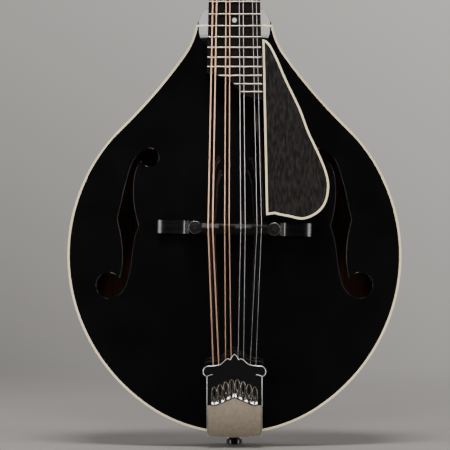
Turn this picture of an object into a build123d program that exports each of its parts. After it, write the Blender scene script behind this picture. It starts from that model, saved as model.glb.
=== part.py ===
"""An A-style mandolin with f-holes, 22 frets and four pairs of strings, in millimetres.

X is to the right as a viewer facing the soundboard sees it, Z is up along the neck, and the soundboard
faces -Y. The origin is where a hanger holds the instrument: on the centre plane, level with the nut's
front edge, inside the neck and half way through the body's depth. "Forward" below is the distance in
front of the plane Y = 0, so it is -Y.
"""

from build123d import *
from math import acos, atan2, cos, degrees, pi, radians, sin, sqrt, tan
import os

os.makedirs("parts", exist_ok=True)

# ---------------------------------------------------------------- driving dimensions
SCALE_LENGTH = 352.4
FRETS = 22
NECK_ANGLE = 5.5
HEAD_ANGLE = 15.0
NUT_FORWARD = 13.2

BODY_TOP = -201.6
BODY_LENGTH = 304.2
BODY_TAIL = BODY_TOP - BODY_LENGTH
EDGE_FORWARD = 22.0
PLATE_EDGE = 3.6
GLUE_FORWARD = EDGE_FORWARD - PLATE_EDGE
# signed radius and turn of each arc up the body's right side, from the tail; a negative radius is hollow
OUTLINE = ((113.3, 34.0), (139.0, 35.5), (133.4, 66.3), (-397.0, -10.2), (-53.8, -25.0))

ARCH_CENTRE = BODY_TAIL + 140.0
TOP_ARCH = 12.0
BACK_ARCH = 13.0
PLATE_MIDDLE = 4.2
ARCH_STEPS = (1.0, 0.95, 0.88, 0.8, 0.7, 0.58, 0.45, 0.3, 0.15, 0.02)

BINDING = 1.6
BINDING_DEPTH = 6.0
RIM_WALL = 2.4
LINING = 4.6
BLOCK_LENGTH = 38.0

BOARD_THICK = 5.0
BOARD_NUT_HALF = 14.3
BOARD_FLARE = 0.02565
FRET_RADIUS = 0.62
FRET_LIFT = 0.28
NUT_THICK = 4.0

HEAD_VENEER = 1.6
HEAD_WOOD = 14.0
HEAD_LENGTH = 136.0
BARREL_RADIUS = 4.3
POST_RADIUS = 3.0
RUNNING_GAP = 0.05
POST_SPACING = 23.0
FIRST_POST = 33.0
POST_OFFSET = 17.5

COURSES = ("g", "d", "a", "e")
STRING_RADII = {"g": 0.5, "d": 0.34, "a": 0.21, "e": 0.15}
COURSE_AT_NUT = {"g": -11.2, "d": -4.0, "a": 3.6, "e": 11.0}
COURSE_AT_SADDLE = {"g": -17.7, "d": -5.6, "a": 6.2, "e": 18.1}
PAIR_AT_NUT = 2.4
PAIR_AT_SADDLE = 3.3
STRING_OVER_NUT = 1.55
STRING_OVER_SADDLE = 4.0

BRIDGE_Z = -352.9
BRIDGE_SLANT = 1.3
STUD_OFFSET = 29.2

UPWARD = (Align.CENTER, Align.CENTER, Align.MIN)

# ---------------------------------------------------------------- planes and curves that parts share


def front(forward):
    """Plane facing the viewer at this forward distance; its own axes are X and Z."""
    return Plane.XZ.offset(forward)


def tilted(origin, angle):
    """Plane leaning back by an angle, with its y axis going up the neck or headstock."""
    lean = radians(angle)
    return Plane(origin=origin, x_dir=(1, 0, 0), z_dir=(0, -cos(lean), sin(lean)))


NECK = tilted((0, -NUT_FORWARD, 0), NECK_ANGLE)
HEAD = tilted(NECK.from_local_coords(Vector(0, NUT_THICK, -2.2)), NECK_ANGLE + HEAD_ANGLE)


def across(plane, along, lift=0.0):
    """Plane square to the neck or headstock, its y axis forward, at a distance up that plane's y axis."""
    origin = plane.from_local_coords(Vector(0, along, lift))
    return Plane(origin=origin, x_dir=(1, 0, 0), z_dir=-plane.y_dir)


def outline_arcs(inset=0.0, shrink=1.0):
    """Start, heading, radius and turn of each arc of the body's right side, inset and then shrunk."""
    arcs = []
    x, z, heading = 0.0, BODY_TAIL + inset, 0.0
    for signed, turn in OUTLINE:
        radius = signed - inset
        end = radians(heading + turn)
        if signed is OUTLINE[-1][0]:
            end = acos(cos(radians(heading)) - (BODY_TOP - inset - z) / radius)
        start = (shrink * x, ARCH_CENTRE + shrink * (z - ARCH_CENTRE))
        arcs.append((start, heading, shrink * abs(radius), degrees(end) - heading))
        x += radius * (sin(end) - sin(radians(heading)))
        z -= radius * (cos(end) - cos(radians(heading)))
        heading = degrees(end)
    return arcs


def body_face(plane, inset=0.0, shrink=1.0):
    """The body's outline as a face, inset from the outer edge and shrunk about the arch's centre."""
    with BuildSketch(plane) as face:
        with BuildLine():
            for start, heading, radius, turn in outline_arcs(inset, shrink):
                arc = JernArc(start, (cos(radians(heading)), sin(radians(heading))), radius, turn)
            mirror(about=Plane.YZ)
            end = arc @ 1
            Line((end.X, end.Y), (-end.X, end.Y))
        make_face()
    return face.sketch


def body_ring(plane, outer, inner):
    """The band between two insets of the body's outline."""
    with BuildSketch(plane) as ring:
        add(body_face(Plane.XY, outer))
        add(body_face(Plane.XY, inner), mode=Mode.SUBTRACT)
    return ring.sketch


def arch(share):
    """How much of the arch's height is reached at this share of the way from its centre to the edge."""
    return cos(pi / 2 * share**1.2) ** 2


def dome(side, base, height, inset):
    """Arched solid on a flat base; side is 1 for the soundboard and -1 for the back."""
    with BuildPart() as arched:
        for share in ARCH_STEPS:
            add(body_face(front(side * (base + height * arch(share))), inset, share))
        loft()
    return arched.part


def fret_distance(number):
    """Distance of a fret from the nut."""
    return SCALE_LENGTH * (1 - 2 ** (-number / 12))


def board_half(distance):
    """Half of the fingerboard's width at a distance from the nut."""
    return BOARD_NUT_HALF + BOARD_FLARE * distance


def save(name, part):
    """Labels one piece and writes its STEP file."""
    part.label = name
    export_step(part, f"parts/{name}.step")


# ---------------------------------------------------------------- soundboard, back and rim

TOP_DOME = dome(1, EDGE_FORWARD, TOP_ARCH, BINDING)
BACK_DOME = dome(-1, EDGE_FORWARD, BACK_ARCH, BINDING)
LAND = RIM_WALL + LINING

# the air inside the box, which also shapes the blocks and bars that touch the plates
with BuildPart() as cavity:
    extrude(body_face(front(0), LAND), amount=GLUE_FORWARD, both=True)
    add(dome(1, GLUE_FORWARD, TOP_ARCH + PLATE_EDGE - PLATE_MIDDLE, LAND))
    add(dome(-1, GLUE_FORWARD, BACK_ARCH + PLATE_EDGE - PLATE_MIDDLE, LAND))

# f-hole for the right side, measured from the centre line and the string line over the bridge
F_HOLE_Z = -350.5
UPPER_EYE = (62.9, 50.1, 7.0)
LOWER_EYE = (93.2, -45.0, 9.7)
OUTER_UPPER = ((66.4, 56.2), (74.6, 48.7), (79.4, 36.3), (82.4, 25.0), (85.3, 11.5), (87.2, 4.6))
OUTER_LOWER = ((87.2, 4.6), (84.9, -5.5), (83.2, -20.0), (83.8, -33.0), (85.3, -39.4))
INNER_LOWER = ((93.2, -54.7), (82.0, -47.9), (77.6, -35.0), (75.2, -17.0), (70.8, -0.7))
INNER_UPPER = ((70.8, -0.7), (74.4, 14.0), (75.0, 29.4), (72.8, 41.6), (69.3, 47.3))


def f_hole_cutter(side):
    """Prism of one f-hole; side is 1 for the treble side and -1 for the bass side."""
    with BuildPart() as cutter:
        with BuildSketch(front(10)):
            with BuildLine():
                Spline(*[(side * x, F_HOLE_Z + z) for x, z in OUTER_UPPER])
                Spline(*[(side * x, F_HOLE_Z + z) for x, z in OUTER_LOWER])
                Line(*[(side * x, F_HOLE_Z + z) for x, z in (OUTER_LOWER[-1], INNER_LOWER[0])])
                Spline(*[(side * x, F_HOLE_Z + z) for x, z in INNER_LOWER])
                Spline(*[(side * x, F_HOLE_Z + z) for x, z in INNER_UPPER])
                Line(*[(side * x, F_HOLE_Z + z) for x, z in (INNER_UPPER[-1], OUTER_UPPER[0])])
            make_face()
            for x, z, radius in (UPPER_EYE, LOWER_EYE):
                with Locations((side * x, F_HOLE_Z + z)):
                    Circle(radius)
        extrude(amount=30)
    return cutter.part


with BuildPart() as top_plate:
    extrude(body_face(front(GLUE_FORWARD), BINDING), amount=PLATE_EDGE)
    add(TOP_DOME)
    add(cavity.part, mode=Mode.SUBTRACT)
    for side in (1, -1):
        add(f_hole_cutter(side), mode=Mode.SUBTRACT)

with BuildPart() as back_plate:
    extrude(body_face(front(-GLUE_FORWARD), BINDING), amount=-PLATE_EDGE)
    add(BACK_DOME)
    add(cavity.part, mode=Mode.SUBTRACT)

BINDING_BACK = EDGE_FORWARD - BINDING_DEPTH
with BuildPart() as top_binding:
    extrude(body_ring(front(BINDING_BACK), 0, BINDING), amount=BINDING_DEPTH)

with BuildPart() as back_binding:
    extrude(body_ring(front(-EDGE_FORWARD), 0, BINDING), amount=BINDING_DEPTH)

# ---------------------------------------------------------------- screws

SCREW_SHANK = 1.0


def screw(place, head, length, head_thick=0.9):
    """Domed wood screw; its head stands on the place's origin and its shank goes down from there."""
    with BuildPart() as fastener:
        Cylinder(head, head_thick, align=UPWARD)
        rounded = fastener.faces().sort_by(Axis.Z)[-1].edges()
        fillet(rounded, 0.5 * head_thick)
        Cylinder(SCREW_SHANK, length, align=(Align.CENTER, Align.CENTER, Align.MAX))
        with Locations((0, 0, head_thick)):
            Box(2 * head, 0.5, 0.7 * head_thick, mode=Mode.SUBTRACT)
    return fastener.part.moved(place)


HEAD_BACK = -(HEAD_VENEER + HEAD_WOOD)
PLATE_THICK = 1.0
PLATE_BACK = HEAD_BACK - PLATE_THICK
PLATE_SCREWS = (21.3, 42.4, 65.4, 88.4, 111.3)
COVER_THICK = 1.5
COVER_SCREWS = ((-6.4, 4.6), (6.4, 4.6), (0.0, 31.0))
FLANGE_THICK = 2.2
FLANGE_SCREWS = ((-12.5, 8.0), (12.5, 8.0))
FLANGE_SEAT = 0.6

head_screws = [
    screw(HEAD.location * Location((side * POST_OFFSET, along, PLATE_BACK), (180, 0, 0)), 1.9, 8)
    for side in (-1, 1)
    for along in PLATE_SCREWS
] + [screw(HEAD.location * Location((x, along, COVER_THICK)), 1.5, 7, 0.7) for x, along in COVER_SCREWS]
tail_screws = [
    screw(Location((x, -forward, BODY_TAIL - FLANGE_THICK + FLANGE_SEAT), (180, 0, 0)), 2.2, 14, 1.3)
    for x, forward in FLANGE_SCREWS
]

# ---------------------------------------------------------------- inside the box

BLOCK_HALF = 34.0
TAIL_BLOCK_HALF = 36.0
TAIL_BLOCK_LENGTH = 20.0
TENON_HALF = (9.5, 12.0)
TENON_LENGTH = 14.0
TENON_BACK = -16.0
TONE_BAR_X = 27.0
TONE_BAR_TURN = 5.0
TONE_BAR = (6.5, 190.0, 13.0)
PIN_HOLE_RADIUS = 3.5


def filling(plane, inset):
    """Everything inside the rim between the two plates, following their inner faces."""
    with BuildPart() as inside:
        extrude(body_face(plane, inset), amount=GLUE_FORWARD, both=True)
        add(cavity.part)
    return inside.part


INSIDE = filling(front(0), RIM_WALL)

# the neck's dovetail, narrow at the joint and wide inside the block
with BuildPart() as tenon:
    with BuildSketch(front(TENON_BACK)):
        with BuildLine():
            narrow, wide = TENON_HALF
            Polyline(
                (-narrow, BODY_TOP),
                (narrow, BODY_TOP),
                (wide, BODY_TOP - TENON_LENGTH),
                (-wide, BODY_TOP - TENON_LENGTH),
                close=True,
            )
        make_face()
    extrude(amount=BINDING_BACK - TENON_BACK)

with BuildPart() as head_block:
    with BuildSketch(front(-50)):
        with Locations((0, BODY_TOP - BLOCK_LENGTH / 2)):
            Rectangle(2 * BLOCK_HALF, BLOCK_LENGTH)
    extrude(amount=100)
    add(INSIDE, mode=Mode.INTERSECT)
    add(tenon.part, mode=Mode.SUBTRACT)

with BuildPart() as tail_block:
    with BuildSketch(front(-50)):
        with Locations((0, BODY_TAIL + TAIL_BLOCK_LENGTH / 2)):
            Rectangle(2 * TAIL_BLOCK_HALF, TAIL_BLOCK_LENGTH)
    extrude(amount=100)
    add(INSIDE, mode=Mode.INTERSECT)
    with Locations(Location((0, 0, BODY_TAIL))):
        Cylinder(PIN_HOLE_RADIUS, 80, mode=Mode.SUBTRACT)
    add(tail_screws, mode=Mode.SUBTRACT)

with BuildPart() as linings:
    for base in (GLUE_FORWARD - 7, -GLUE_FORWARD):
        extrude(body_ring(front(base), RIM_WALL, LAND), amount=7)
    add(head_block.part, mode=Mode.SUBTRACT)
    add(tenon.part, mode=Mode.SUBTRACT)
    add(tail_block.part, mode=Mode.SUBTRACT)
    with Locations(Location((0, 0, BODY_TAIL))):
        Cylinder(PIN_HOLE_RADIUS, 80, mode=Mode.SUBTRACT)

with BuildPart() as tone_bars:
    width, length, depth = TONE_BAR
    with BuildSketch(front(GLUE_FORWARD + 1)):
        for side in (1, -1):
            with Locations(Location((side * TONE_BAR_X, ARCH_CENTRE, 0), (0, 0, side * TONE_BAR_TURN))):
                Rectangle(width, length)
    extrude(amount=depth)
    add(cavity.part, mode=Mode.INTERSECT)

with BuildPart() as rim:
    extrude(body_ring(front(0), 0, RIM_WALL), amount=BINDING_BACK, both=True)
    extrude(body_ring(front(0), BINDING, RIM_WALL), amount=GLUE_FORWARD, both=True)
    add(tenon.part, mode=Mode.SUBTRACT)
    with Locations(Location((0, 0, BODY_TAIL))):
        Cylinder(PIN_HOLE_RADIUS, 80, mode=Mode.SUBTRACT)
    add(tail_screws, mode=Mode.SUBTRACT)


# ---------------------------------------------------------------- fingerboard, frets and nut

# the board's end, scooped from the short bass side to the long treble side: across, distance from the nut
BOARD_END = ((-12.9, 240.6), (-8.9, 242.4), (-2.4, 245.4), (2.6, 251.0), (8.8, 256.0), (14.5, 257.8))
BOARD_BASS = 239.0
BOARD_TREBLE = 259.3
DOT_FRETS = (3, 5, 7, 10, 12, 15)
DOT_RADIUS = 1.75
DOT_DEEP = 1.2
SIDE_DOT_RADIUS = 0.9


def board_face(plane, margin=0.0):
    """The fingerboard's outline, its sides brought in by a margin."""
    bass, treble = (board_half(end) - margin for end in (BOARD_BASS, BOARD_TREBLE))
    with BuildSketch(plane) as face:
        with BuildLine():
            start = (-bass, -BOARD_BASS)
            finish = (treble, -BOARD_TREBLE)
            Spline(start, *[(x, -along) for x, along in BOARD_END], finish)
            nut_half = BOARD_NUT_HALF - margin
            Polyline(finish, (nut_half, 0), (-nut_half, 0), start)
        make_face()
    return face.sketch


def middle_of_fret(number):
    """Half way between a fret and the one before it, as a distance from the nut."""
    return (fret_distance(number) + fret_distance(number - 1)) / 2


# the twelfth fret has two dots and the others have one
FACE_DOTS = [(x, -middle_of_fret(n)) for n in DOT_FRETS for x in ((-6.0, 6.0) if n == 12 else (0.0,))]

with BuildPart(NECK) as position_dots:
    with Locations(*[(x, y, -DOT_DEEP / 2) for x, y in FACE_DOTS]):
        Cylinder(DOT_RADIUS, DOT_DEEP)
    for n in DOT_FRETS:
        along = middle_of_fret(n)
        with Locations((0.6 - board_half(along), -along, -BOARD_THICK / 2)):
            Cylinder(SIDE_DOT_RADIUS, DOT_DEEP, rotation=(0, 90, 0))

with BuildPart() as fingerboard:
    extrude(board_face(NECK), amount=-BOARD_THICK)
    add(position_dots.part, mode=Mode.SUBTRACT)

with BuildPart(NECK) as frets:
    for n in range(1, FRETS + 1):
        with Locations((0, -fret_distance(n), FRET_LIFT)):
            Cylinder(FRET_RADIUS, 60, rotation=(0, 90, 0))
    extrude(board_face(NECK, 0.15), amount=2, mode=Mode.INTERSECT)


def string_x(course, which, along):
    """How far across a string is at a distance from the nut; which is -1 or 1 within its pair."""
    share = along / SCALE_LENGTH
    middle = COURSE_AT_NUT[course] * (1 - share) + COURSE_AT_SADDLE[course] * share
    return middle + which * (PAIR_AT_NUT * (1 - share) + PAIR_AT_SADDLE * share) / 2


STRINGS = [(course, which) for course in COURSES for which in (-1, 1)]


# ---------------------------------------------------------------- bridge

# the bridge's own axes: x along it, y up the strings, z forward; its treble end leans to the tail
slant = radians(BRIDGE_SLANT)
BRIDGE = Plane(origin=(0, 0, BRIDGE_Z), x_dir=(cos(slant), 0, -sin(slant)), z_dir=(0, -1, 0))
BRIDGE_SIDE = Plane(origin=(0, 0, BRIDGE_Z), x_dir=BRIDGE.x_dir, z_dir=-BRIDGE.y_dir)
BASE_WIDTH = 9.7
PLATFORM = 39.6
# the base's upper edge from its middle to its right end: across, forward
BASE_TOP = (
    (33.6, PLATFORM),
    (35.0, 37.6),
    (36.6, 35.9),
    (39.2, 34.8),
    (43.0, 34.3),
    (47.0, 34.3),
    (51.0, 34.7),
    (54.0, 33.9),
    (56.8, 32.2),
)
BASE_END = (57.4, 28.0)
FOOT_GAP = (40.0, 35.4)
STUD_RADIUS = 1.75
STUD_TOP = 49.4
WHEEL_BOTTOM = 41.25
WHEEL_THICK = 2.4
WHEEL_RADIUS = 4.8
SADDLE_BOTTOM = WHEEL_BOTTOM + WHEEL_THICK + 0.05
SADDLE_CREST = {"g": -0.3, "d": 1.6, "a": 0.2, "e": 1.9}
SADDLE_HALF_WIDTH = 3.1
EAR_RADIUS = 4.1
EAR_TOP = 48.4


def crest_distance(course, which=0):
    """Distance from the nut, along the neck, at which a string crosses the saddle."""
    across_bridge = COURSE_AT_SADDLE[course] + which * PAIR_AT_SADDLE / 2
    z = BRIDGE_Z - across_bridge * sin(slant) + SADDLE_CREST[course]
    return -(z - STRING_OVER_SADDLE * sin(radians(NECK_ANGLE))) / cos(radians(NECK_ANGLE))


def saddle_point(course, which):
    """Centre of a string where it bends over the saddle."""
    along = crest_distance(course, which)
    return NECK.from_local_coords(Vector(string_x(course, which, along), -along, STRING_OVER_SADDLE))


with BuildPart(BRIDGE) as bridge_studs:
    with Locations((-STUD_OFFSET, 0, PLATFORM - 4), (STUD_OFFSET, 0, PLATFORM - 4)):
        Cylinder(STUD_RADIUS, STUD_TOP - PLATFORM + 4, align=UPWARD)

with BuildPart() as bridge_base:
    with BuildSketch(BRIDGE_SIDE):
        with BuildLine():
            Line((0, PLATFORM), BASE_TOP[0])
            Spline(*BASE_TOP)
            Polyline(BASE_TOP[-1], (BASE_END[0], BASE_TOP[-1][1] - 0.8), BASE_END, (0, BASE_END[1]))
            mirror(about=Plane.YZ)
        make_face()
    extrude(amount=BASE_WIDTH / 2, both=True)
    add(TOP_DOME, mode=Mode.SUBTRACT)
    with BuildSketch(BRIDGE_SIDE):
        with Locations((0, BASE_END[1])):
            gap_width, gap_top = FOOT_GAP
            Rectangle(gap_width, 2 * (gap_top - BASE_END[1]))
    extrude(amount=BASE_WIDTH, both=True, mode=Mode.SUBTRACT)
    add(bridge_studs.part, mode=Mode.SUBTRACT)


def thumbwheel(side):
    """Knurled wheel on one stud, with a running fit on its thread."""
    with BuildPart(BRIDGE) as wheel:
        with Locations((side * STUD_OFFSET, 0, WHEEL_BOTTOM)):
            Cylinder(WHEEL_RADIUS, WHEEL_THICK, align=UPWARD)
            knurls = wheel.edges().filter_by(GeomType.CIRCLE)
            chamfer(knurls, 0.4)
            Cylinder(STUD_RADIUS + RUNNING_GAP, 20, mode=Mode.SUBTRACT)
            with PolarLocations(WHEEL_RADIUS + 0.15, 20):
                Cylinder(0.42, 20, mode=Mode.SUBTRACT)
    return wheel.part


with BuildPart(BRIDGE) as bridge_saddle:
    with BuildSketch(BRIDGE.offset(SADDLE_BOTTOM)):
        with Locations((-STUD_OFFSET, 0), (STUD_OFFSET, 0)):
            Circle(EAR_RADIUS)
        Rectangle(2 * STUD_OFFSET, 2 * SADDLE_HALF_WIDTH)
    extrude(amount=EAR_TOP - SADDLE_BOTTOM)
    bounds = (-24.0, -11.7, 0.4, 12.2, 24.0)
    for course, left, right in zip(COURSES, bounds, bounds[1:]):
        crest = SADDLE_CREST[course]
        top = -saddle_point(course, 0).Y - STRING_RADII[course] - 0.06
        middle = (left + right) / 2
        side_plane = Plane(
            origin=BRIDGE.from_local_coords(Vector(left, 0, 0)), x_dir=BRIDGE.y_dir, z_dir=BRIDGE.x_dir
        )
        with BuildSketch(side_plane):
            with BuildLine():
                Polyline(
                    (-SADDLE_HALF_WIDTH, EAR_TOP - 1),
                    (-SADDLE_HALF_WIDTH, EAR_TOP),
                    (crest - 0.5, top),
                    (crest + 0.5, top),
                    (SADDLE_HALF_WIDTH, EAR_TOP),
                    (SADDLE_HALF_WIDTH, EAR_TOP - 1),
                    close=True,
                )
            make_face()
        extrude(amount=right - left)
    with Locations((-STUD_OFFSET, 0, EAR_TOP), (STUD_OFFSET, 0, EAR_TOP)):
        Cylinder(STUD_RADIUS + RUNNING_GAP, 20, mode=Mode.SUBTRACT)

# ---------------------------------------------------------------- tailpiece and end pin

TAIL_HALF = 20.3
FLANGE_BACK = -14.0
FLANGE_FRONT = 27.0
# the casting seen from the side: its curved front from the bend up, then its back: forward, Z
TAIL_FRONT = (
    (27.5, BODY_TAIL - 2.2),
    (33.2, BODY_TAIL + 3.4),
    (37.0, BODY_TAIL + 11.0),
    (39.8, BODY_TAIL + 21.0),
    (41.3, BODY_TAIL + 34.0),
    (41.9, BODY_TAIL + 48.0),
    (42.0, BODY_TAIL + 62.0),
)
TAIL_BACK = (
    (33.5, BODY_TAIL + 62.0),
    (32.2, BODY_TAIL + 20.0),
    (28.5, BODY_TAIL + 10.0),
    (22.8, BODY_TAIL + 1.3),
    (22.8, BODY_TAIL - 2.2),
)
# the crown from its tip to the right lobe and down to the plate's side: across, height above the tail
CROWN_TIP = ((0.0, 60.1), (1.6, 58.6), (2.9, 55.8))
CROWN_EDGE = ((2.9, 55.8), (4.6, 56.7), (9.9, 52.9), (14.5, 51.6), (19.2, 51.3))
CROWN_LOBE = ((19.2, 51.3), (22.6, 49.0), (22.9, 46.0), (TAIL_HALF, 43.8))
PETALS = 8
PETAL_PITCH = 4.25
PETAL_WIDTH = 3.5
PETAL_LENGTH = 13.4
PETAL_FLOOR = 33.4
PETAL_BOTTOMS = (27.8, 26.1, 24.2, 22.4)
LUG_RADIUS = 0.8
LUG_TOP = 38.0
LUG_ABOVE_PETAL = 4.6
HOOK_FORWARD = 35.0
LOOP_RADIUS = 1.3


def petal(number):
    """Across, and height of the petal's lower end above the tail; petals count from the bass side."""
    from_middle = number - (PETALS - 1) / 2
    return from_middle * PETAL_PITCH, PETAL_BOTTOMS[int(abs(from_middle))]


def lug_z(number):
    """Height of the lug that holds a string's loop."""
    return BODY_TAIL + petal(number)[1] + LUG_ABOVE_PETAL


with BuildPart() as end_pin:
    with BuildSketch(Plane.XZ):
        with BuildLine():
            top = BODY_TAIL + 16
            collar = BODY_TAIL - FLANGE_THICK - 0.05
            Polyline((0, collar - 7.6), (0, top), (PIN_HOLE_RADIUS - 0.6, top), (PIN_HOLE_RADIUS, top - 2))
            Polyline((PIN_HOLE_RADIUS, top - 2), (PIN_HOLE_RADIUS, collar), (4.8, collar))
            Line((4.8, collar), (4.8, collar - 0.9))
            ThreePointArc((4.8, collar - 0.9), (3.9, collar - 2.2), (4.9, collar - 3.4))
            Polyline((4.9, collar - 3.4), (6.0, collar - 3.6), (6.0, collar - 6.4))
            ThreePointArc((6.0, collar - 6.4), (5.4, collar - 7.3), (4.4, collar - 7.6))
            Line((4.4, collar - 7.6), (0, collar - 7.6))
        make_face()
    revolve(axis=Axis.Z)


with BuildPart() as tailpiece:
    with BuildSketch(Plane(origin=(-30, 0, 0), x_dir=(0, -1, 0), z_dir=(-1, 0, 0))):
        with BuildLine():
            Spline(*TAIL_FRONT)
            Polyline(TAIL_FRONT[-1], *TAIL_BACK, TAIL_FRONT[0])
        make_face()
    extrude(amount=-60)
    with BuildSketch(front(0)):
        with BuildLine():
            for points in (CROWN_TIP, CROWN_EDGE, CROWN_LOBE):
                Spline(*[(x, BODY_TAIL + up) for x, up in points])
            Polyline((TAIL_HALF, BODY_TAIL + 43.8), (TAIL_HALF, BODY_TAIL - 5), (0, BODY_TAIL - 5))
            mirror(about=Plane.YZ)
        make_face()
        add(body_face(Plane.XY, -FLANGE_THICK), mode=Mode.INTERSECT)
    extrude(amount=60, mode=Mode.INTERSECT)
    with BuildSketch(front(FLANGE_BACK)):
        add(body_ring(Plane.XY, -FLANGE_THICK, 0))
        with Locations((0, BODY_TAIL)):
            Rectangle(2 * TAIL_HALF, 20, mode=Mode.INTERSECT)
    extrude(amount=FLANGE_FRONT - FLANGE_BACK)
    with BuildSketch(front(PETAL_FLOOR)):
        for number in range(PETALS):
            x, bottom = petal(number)
            with Locations((x, BODY_TAIL + bottom + PETAL_LENGTH / 2)):
                SlotOverall(PETAL_LENGTH, PETAL_WIDTH, rotation=90)
    extrude(amount=20, mode=Mode.SUBTRACT)
    with BuildSketch(front(PETAL_FLOOR)):
        with Locations(*[(petal(number)[0], lug_z(number)) for number in range(PETALS)]):
            Circle(LUG_RADIUS)
    extrude(amount=LUG_TOP - PETAL_FLOOR)
    add(end_pin.part, mode=Mode.SUBTRACT)
    add(tail_screws, mode=Mode.SUBTRACT)

# ---------------------------------------------------------------- strings

STRING_LEVEL = 4.6
BEND_RADIUS = 3.0


def post_place(number):
    """Across, and up the headstock, of a post; posts 1 to 4 are on the bass side from the nut up."""
    side = -1 if number <= 4 else 1
    return side * POST_OFFSET, FIRST_POST + POST_SPACING * ((number - 1) % 4)


# the outer pair of strings goes to the two lower posts of its side
POST_OF_STRING = {
    ("g", -1): 1,
    ("g", 1): 2,
    ("d", -1): 3,
    ("d", 1): 4,
    ("e", 1): 5,
    ("e", -1): 6,
    ("a", 1): 7,
    ("a", -1): 8,
}


def post_point(course, which):
    """Where a string meets its winding, on the side of the post towards the centre line."""
    x, along = post_place(POST_OF_STRING[course, which])
    inward = -1 if x > 0 else 1
    reach = POST_RADIUS + STRING_RADII[course] + 0.03
    start = HEAD.to_local_coords(NECK.from_local_coords(Vector(string_x(course, which, 0), 0, 0)))
    to_post = Vector(x - start.X, along - start.Y)
    turn = atan2(to_post.Y, to_post.X) - inward * atan2(reach, sqrt(to_post.length**2 - reach**2))
    return HEAD.from_local_coords(
        Vector(x + inward * reach * sin(turn), along - inward * reach * cos(turn), STRING_LEVEL)
    )


def string_solid(course, which, extra=0.0, loop=True):
    """One string from its loop on the tailpiece's lug to its post; extra thickens it for cutting slots."""
    number = STRINGS.index((course, which))
    x, z = petal(number)[0], lug_z(number)
    radius = STRING_RADII[course] + extra
    hook = Vector(x, -HOOK_FORWARD, z + LOOP_RADIUS)
    over_nut = NECK.from_local_coords(Vector(string_x(course, which, 0), 0, STRING_OVER_NUT))
    points = (hook, saddle_point(course, which), over_nut, post_point(course, which))
    with BuildPart() as string:
        with BuildLine() as route:
            FilletPolyline(*points, radius=BEND_RADIUS)
        with BuildSketch(Plane(origin=route.line @ 0, z_dir=route.line % 0)):
            Circle(radius)
        sweep(path=route.line)
        if loop:
            with Locations(Location((x, -HOOK_FORWARD, z), (90, 0, 0))):
                Torus(LOOP_RADIUS, min(radius, 0.38))
    return string.part


STRING_SOLIDS = {key: string_solid(*key) for key in STRINGS}
SLOTS = {key: string_solid(*key, extra=0.07, loop=False) for key in STRINGS}
TUNNELS = {key: string_solid(*key, extra=0.35, loop=False) for key in STRINGS}

with BuildPart() as tailpiece_bored:
    add(tailpiece.part)
    for key in STRINGS:
        add(TUNNELS[key], mode=Mode.SUBTRACT)

NUT_SIDE = ((0, -BOARD_THICK), (0, 1.3), (0.7, 1.65), (NUT_THICK, 0.85), (NUT_THICK, -BOARD_THICK))

with BuildPart() as nut:
    nut_plane = Plane(origin=NECK.origin, x_dir=NECK.y_dir, z_dir=(1, 0, 0))
    with BuildSketch(nut_plane):
        with BuildLine():
            Polyline(*[(along, up) for along, up in NUT_SIDE], close=True)
        make_face()
    extrude(amount=BOARD_NUT_HALF, both=True)
    for key in STRINGS:
        add(SLOTS[key], mode=Mode.SUBTRACT)

# ---------------------------------------------------------------- neck and headstock

# sections of the shaft and of the heel below it: distance from the nut, half width, depth below the board
SHAFT = ((-3.9, 14.2, 15.8), (55, 15.7, 16.6), (114, 17.2, 17.4), (172, 18.7, 20.0))
HEEL = ((172, 18.7, 20.0), (181, 19.0, 26.5), (189, 19.3, 39.0), (196, 19.4, 53.0))
HEEL_AT_JOINT = (19.6, 61.0)
# sections of the headstock's rounded root: distance up its face, half width, depth
HEAD_ROOT = ((0, 14.5, 18.2), (8, 15.0, 16.9), (20, 14.6, 14.4), (32, 13.0, 11.0))
# sections of the heel's cheeks: height above the body, half width, depth behind the soundboard's edge
CHEEKS = ((17.0, 12.0, 12.0), (13.0, 17.0, 24.0), (9.6, 20.8, 36.0), (4.6, 24.9, 48.0), (0.0, 27.9, 56.0))
SPARE = 1.0
HEAD_SIDE = ((14.5, 0.0), (15.7, 6.0), (21.0, 13.0), (26.8, 19.5), (29.6, 28.0))
HEAD_CORNER = (27.5, 121.0)
CHANNEL = (5.0, 5.2)
ROD_RADIUS = 2.2
HEEL_CAP = 2.0
RISER_HALF = 19.0
RISER_END = 234.0


def neck_section(plane, half, depth):
    """Rounded section with a flat front that stands a little above its plane, to be cut off later."""
    with BuildSketch(plane) as section:
        with BuildLine():
            right = ((half, 0), (0.94 * half, -0.4 * depth), (0.6 * half, -0.84 * depth))
            Spline(*right, (0, -depth), *[(-x, y) for x, y in reversed(right)])
            Polyline((-half, 0), (-half, SPARE), (half, SPARE), (half, 0))
        make_face()
    return section.sketch


with BuildPart() as shaft:
    for along, half, depth in SHAFT:
        add(neck_section(across(NECK, -along, -BOARD_THICK), half, depth))
    loft()

with BuildPart() as heel:
    for along, half, depth in HEEL:
        add(neck_section(across(NECK, -along, -BOARD_THICK), half, depth))
    lean = radians(NECK_ANGLE)
    underside = NUT_FORWARD - BOARD_THICK / cos(lean) - BODY_TOP * tan(lean)
    joint = Plane(origin=(0, -underside, BODY_TOP), x_dir=(1, 0, 0), z_dir=(0, 0, -1))
    add(neck_section(joint, *HEEL_AT_JOINT))
    loft()

with BuildPart() as head_root:
    for along, half, depth in HEAD_ROOT:
        add(neck_section(across(HEAD, along, -HEAD_VENEER), half, depth))
    loft()

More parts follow.
